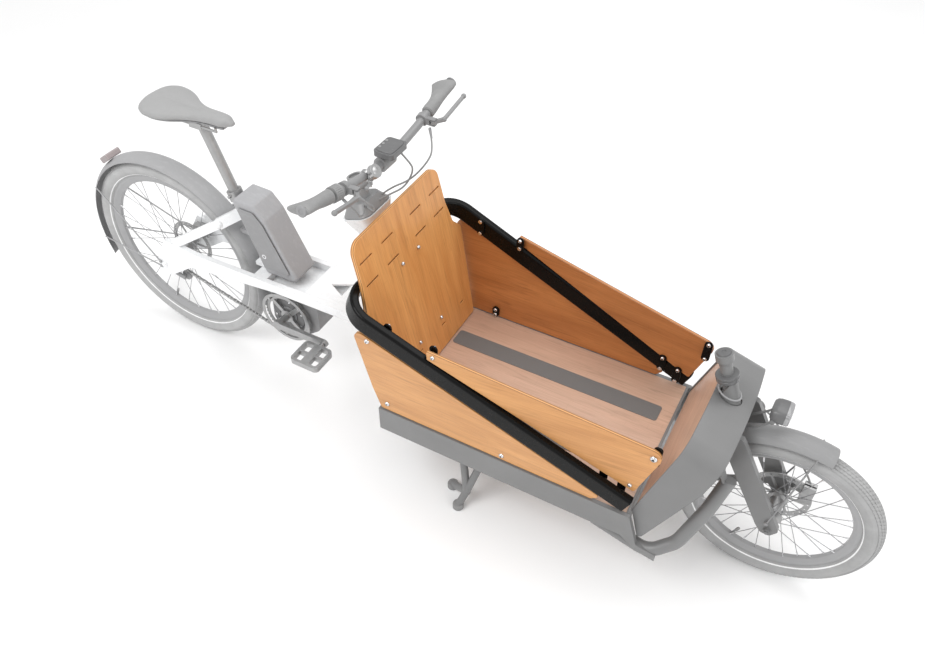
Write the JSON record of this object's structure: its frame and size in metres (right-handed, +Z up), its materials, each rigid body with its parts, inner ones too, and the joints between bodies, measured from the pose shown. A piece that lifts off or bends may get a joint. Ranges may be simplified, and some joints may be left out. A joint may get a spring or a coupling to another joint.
{
  "type": "cargo bicycle",
  "caption": "Long front-loading cargo bicycle with a low platform, wooden side panels, a linked steered front wheel and a mid motor.",
  "frame": {"origin": "on the ground, midway between the rearmost point of the rear fender and the front of the front tyre, in the middle of the width", "axes": "+X forward, +Y to the rider's left, +Z up"},
  "size_m": [2.566, 0.6482, 1.0003],
  "materials": {
    "white_frame": "white gloss powder coat",
    "grey_frame": "satin grey powder coat",
    "black_tube": "satin black powder coat",
    "wood": "lacquered bamboo ply",
    "pale_wood": "pale lacquered ply",
    "rubber": "soft grey rubber",
    "tyre": "grey tread rubber",
    "steel": "stainless",
    "alloy": "satin alloy",
    "dark_plastic": "moulded plastic",
    "lens": "clear red lens",
    "saddle": "grained cover"
  },
  "bodies": {
    "frame": {"main_beams": "white_frame", "seat_frame": "white_frame", "seat_collar": "alloy", "motor": "dark_plastic", "chain": "steel", "chain_tensioner": "alloy", "rear_fender": "dark_plastic", "rear_light": "lens", "rear_caliper": "alloy", "platform_frame": "grey_frame", "floor_board": "pale_wood", "floor_strips": "rubber", "front_cowl": "grey_frame", "front_board": "pale_wood", "front_head_tube": "grey_frame", "front_braces": "grey_frame", "back_panel": "wood", "hoop_tube": "black_tube", "lower_panel_left": "wood", "lower_panel_right": "wood", "upper_panel_left": "wood", "upper_panel_right": "wood", "panel_brackets": "black_tube", "panel_bolts": "steel", "rear_head_tube": "white_frame"},
    "steering": {"steering_column": "alloy", "stem": "alloy", "handlebar": "alloy", "grip_left": "rubber", "grip_right": "rubber", "lever_clamps": "alloy", "display": "dark_plastic", "bell": "alloy", "control_leads": "dark_plastic"},
    "shifter": {"twist_shifter": "rubber"},
    "left_lever": {"brake_lever_left": "alloy"},
    "right_lever": {"brake_lever_right": "alloy"},
    "bell_striker": {"bell_lever": "alloy"},
    "tie_rod": {"tie_rod": "alloy"},
    "fork": {"fork": "grey_frame", "front_fender": "dark_plastic", "headlight": "dark_plastic", "front_caliper": "alloy", "front_hose": "dark_plastic"},
    "front_wheel": {"front_tyre": "tyre", "front_rim": "alloy", "front_spokes": "steel", "front_hub": "alloy"},
    "rear_wheel": {"rear_tyre": "tyre", "rear_rim": "alloy", "rear_spokes": "steel", "rear_hub": "alloy"},
    "sprocket": {"rear_sprocket": "steel"},
    "crank": {"crankset": "alloy"},
    "left_pedal": {"pedal_left": "alloy"},
    "right_pedal": {"pedal_right": "alloy"},
    "seat": {"seatpost": "alloy", "saddle": "saddle"},
    "battery": {"battery": "dark_plastic"},
    "stand": {"stand": "alloy"}
  },
  "joints": [
    {"name": "steer", "type": "hinge", "parent": "frame", "child": "steering", "pos_m": [-0.10791, 0, 0.6], "axis": [-0.342, 0, 0.9397], "range_deg": [-35, 35]},
    {"name": "fork_steer", "type": "hinge", "parent": "frame", "child": "fork", "pos_m": [0.82828, 0, 0.6], "axis": [-0.342, 0, 0.9397], "range_deg": [-35, 35]},
    {"name": "tie_rod_pivot", "type": "hinge", "parent": "steering", "child": "tie_rod", "pos_m": [-0.09119, 0.092, 0.128], "axis": [-0.342, 0, 0.9397], "range_deg": [-35, 35]},
    {"name": "front_wheel_spin", "type": "hinge", "parent": "fork", "child": "front_wheel", "pos_m": [1.027, 0, 0.256], "axis": [0, 1, 0], "continuous": true},
    {"name": "rear_wheel_spin", "type": "hinge", "parent": "frame", "child": "rear_wheel", "pos_m": [-0.931, 0, 0.334], "axis": [0, 1, 0], "continuous": true},
    {"name": "crank_spin", "type": "hinge", "parent": "frame", "child": "crank", "pos_m": [-0.473, 0, 0.283], "axis": [0, 1, 0], "continuous": true},
    {"name": "sprocket_spin", "type": "hinge", "parent": "frame", "child": "sprocket", "pos_m": [-0.931, 0, 0.334], "axis": [0, 1, 0], "continuous": true},
    {"name": "left_pedal_spin", "type": "hinge", "parent": "crank", "child": "left_pedal", "pos_m": [-0.643, 0, 0.283], "axis": [0, 1, 0], "continuous": true},
    {"name": "right_pedal_spin", "type": "hinge", "parent": "crank", "child": "right_pedal", "pos_m": [-0.303, 0, 0.283], "axis": [0, 1, 0], "continuous": true},
    {"name": "shifter_twist", "type": "hinge", "parent": "steering", "child": "shifter", "pos_m": [-0.10007, -0.2102, 0.96218], "axis": [-0.0175, -0.98, 0.1983], "range_deg": [0, 150]},
    {"name": "left_brake", "type": "hinge", "parent": "steering", "child": "left_lever", "pos_m": [-0.06545, 0.17492, 0.95704], "axis": [0, 0, 1], "range_deg": [0, 14], "stiffness_Nm_per_rad": 1.5, "springref_deg": -2.86},
    {"name": "right_brake", "type": "hinge", "parent": "steering", "child": "right_lever", "pos_m": [-0.06545, -0.17492, 0.95704], "axis": [0, 0, -1], "range_deg": [0, 14], "stiffness_Nm_per_rad": 1.5, "springref_deg": -2.86},
    {"name": "bell_strike", "type": "hinge", "parent": "steering", "child": "bell_striker", "pos_m": [-0.071, -0.112, 0.94], "axis": [0, 0, -1], "range_deg": [0, 25], "stiffness_Nm_per_rad": 0.05, "springref_deg": -5.73},
    {"name": "seat_height", "type": "slide", "parent": "frame", "child": "seat", "axis": [-0.3261, 0, 0.9453], "range_m": [-0.12, 0.06]},
    {"name": "battery_slide", "type": "slide", "parent": "frame", "child": "battery", "axis": [-0.3261, 0, 0.9453], "range_m": [0, 0.1]},
    {"name": "stand_fold", "type": "hinge", "parent": "frame", "child": "stand", "pos_m": [0.214, 0, 0.208], "axis": [0, 1, 0], "range_deg": [0, 75]}
  ],
  "couplings": [
    {"joint": "steer", "follows": "fork_steer", "ratio": 1},
    {"joint": "tie_rod_pivot", "follows": "fork_steer", "ratio": -1},
    {"joint": "sprocket_spin", "follows": "crank_spin", "ratio": 2.3333}
  ]
}
